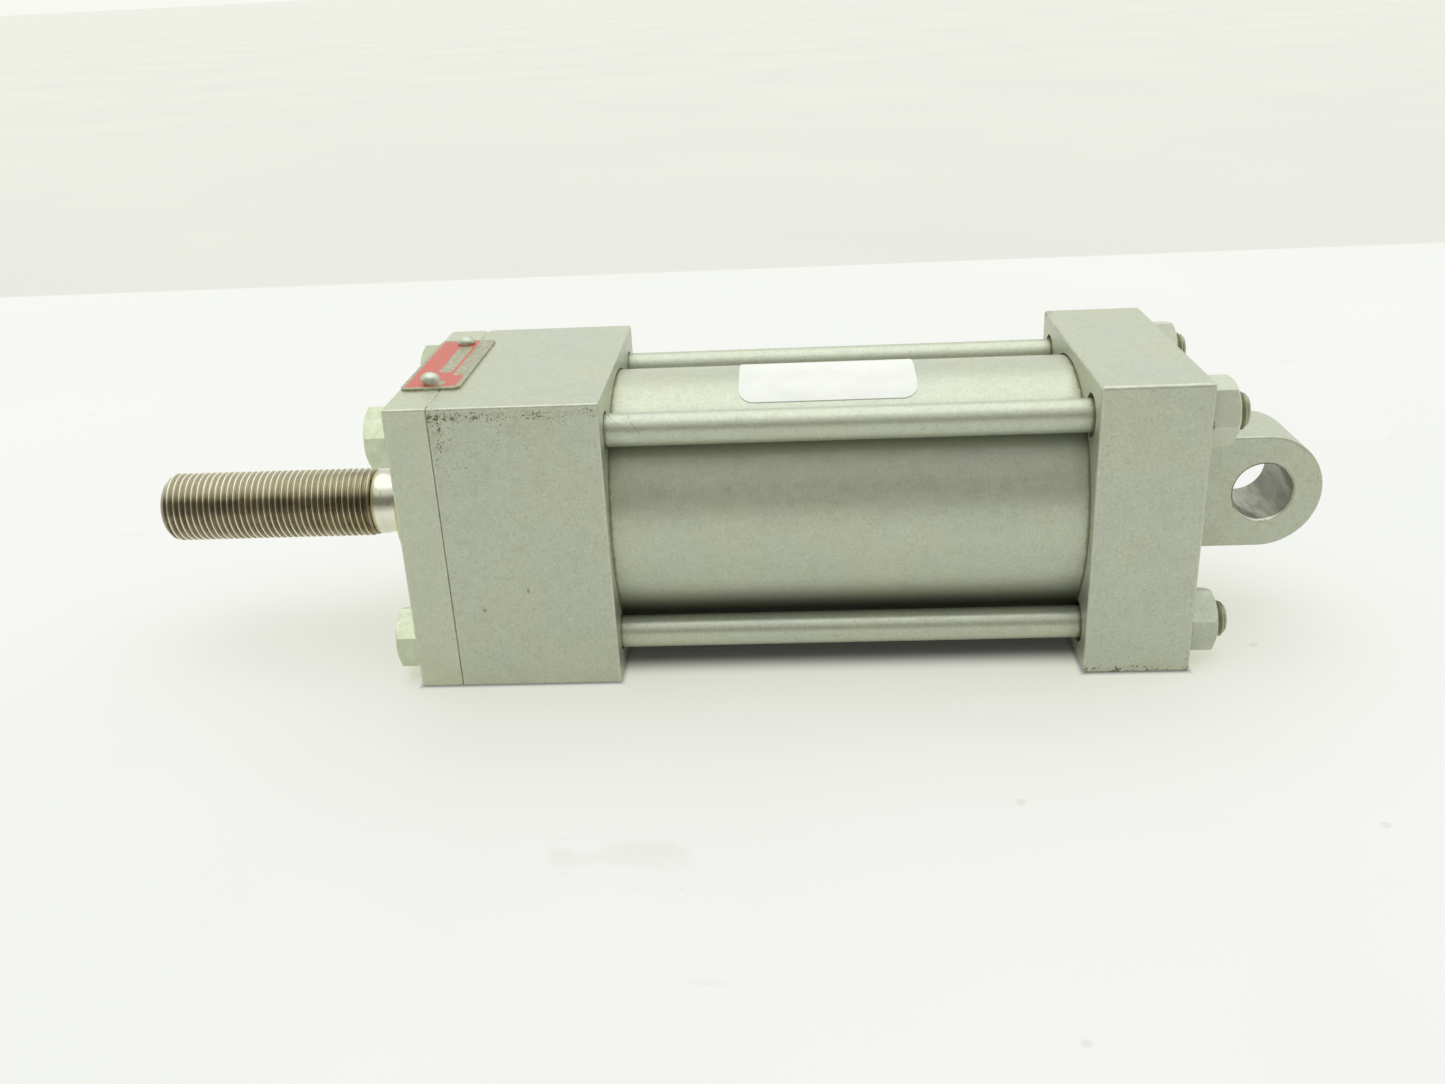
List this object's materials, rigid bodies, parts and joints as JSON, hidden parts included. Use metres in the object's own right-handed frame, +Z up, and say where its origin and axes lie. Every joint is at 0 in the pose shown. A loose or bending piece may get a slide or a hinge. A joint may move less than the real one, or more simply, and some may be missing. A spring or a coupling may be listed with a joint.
{
  "type": "hydraulic cylinder",
  "caption": "Square-head tie-rod hydraulic cylinder with a threaded rod end, a gland retainer plate, side ports and a fixed rear pivot eye; the rod slides and turns.",
  "frame": {"origin": "centre of the bore of the rear pivot eye", "axes": "+Y along the pivot-eye bore; +X from the cylinder out through the eye, so the rod leaves along -X; +Z up, square to both, with the square blocks standing on Z = -31.75 mm"},
  "size_m": [0.2603, 0.0636, 0.0658],
  "materials": {
    "grey_paint": "sprayed grey-green machine enamel, fine orange peel, worn at the edges",
    "zinc_plate": "zinc plated with a pale yellow-green passivate",
    "rod_steel": "hard-chromed rod, ground; cut thread left as bare steel",
    "gland_iron": "machined ductile iron, painted with the head on its nose",
    "piston_iron": "turned ductile iron",
    "screw_steel": "bright steel",
    "nameplate_foil": "etched foil with a red printed field",
    "label_film": "white gloss film",
    "nitrile_rubber": "smooth black nitrile",
    "urethane": "satin blue polyurethane",
    "white_ptfe": "matt white PTFE",
    "bronze_filled_ptfe": "bronze-filled PTFE"
  },
  "bodies": {
    "barrel": {"head": "grey_paint", "retainer_plate": "grey_paint", "rear_cap": "grey_paint", "barrel_tube": "grey_paint", "tie_rod_upper_near": "grey_paint", "tie_rod_upper_far": "grey_paint", "tie_rod_lower_near": "grey_paint", "tie_rod_lower_far": "grey_paint", "tie_rod_nut_upper_near": "grey_paint", "tie_rod_nut_upper_far": "grey_paint", "tie_rod_nut_lower_near": "grey_paint", "tie_rod_nut_lower_far": "grey_paint", "retainer_screw_upper_near": "zinc_plate", "retainer_screw_upper_far": "zinc_plate", "retainer_screw_lower_near": "zinc_plate", "retainer_screw_lower_far": "zinc_plate", "head_tube_seal": "nitrile_rubber", "cap_tube_seal": "nitrile_rubber", "rod_gland": "gland_iron", "rod_wiper": "urethane", "rod_seal": "urethane", "gland_o_ring": "nitrile_rubber", "gland_backup_ring": "white_ptfe", "nameplate": "nameplate_foil", "nameplate_screw_near": "screw_steel", "nameplate_screw_far": "screw_steel", "barrel_label": "label_film"},
    "piston_rings": {"piston_seal_front": "urethane", "piston_seal_back": "urethane", "piston_wear_ring": "bronze_filled_ptfe"},
    "rod": {"piston_rod": "rod_steel", "piston": "piston_iron", "piston_nut": "screw_steel", "piston_bore_o_ring": "nitrile_rubber"}
  },
  "joints": [
    {"name": "rod_slide", "type": "slide", "parent": "barrel", "child": "piston_rings", "axis": [-1, 0, 0], "range_m": [0, 0.054]},
    {"name": "rod_turn", "type": "hinge", "parent": "piston_rings", "child": "rod", "pos_m": [-0.04127, 0, 0], "axis": [1, 0, 0], "continuous": true}
  ]
}
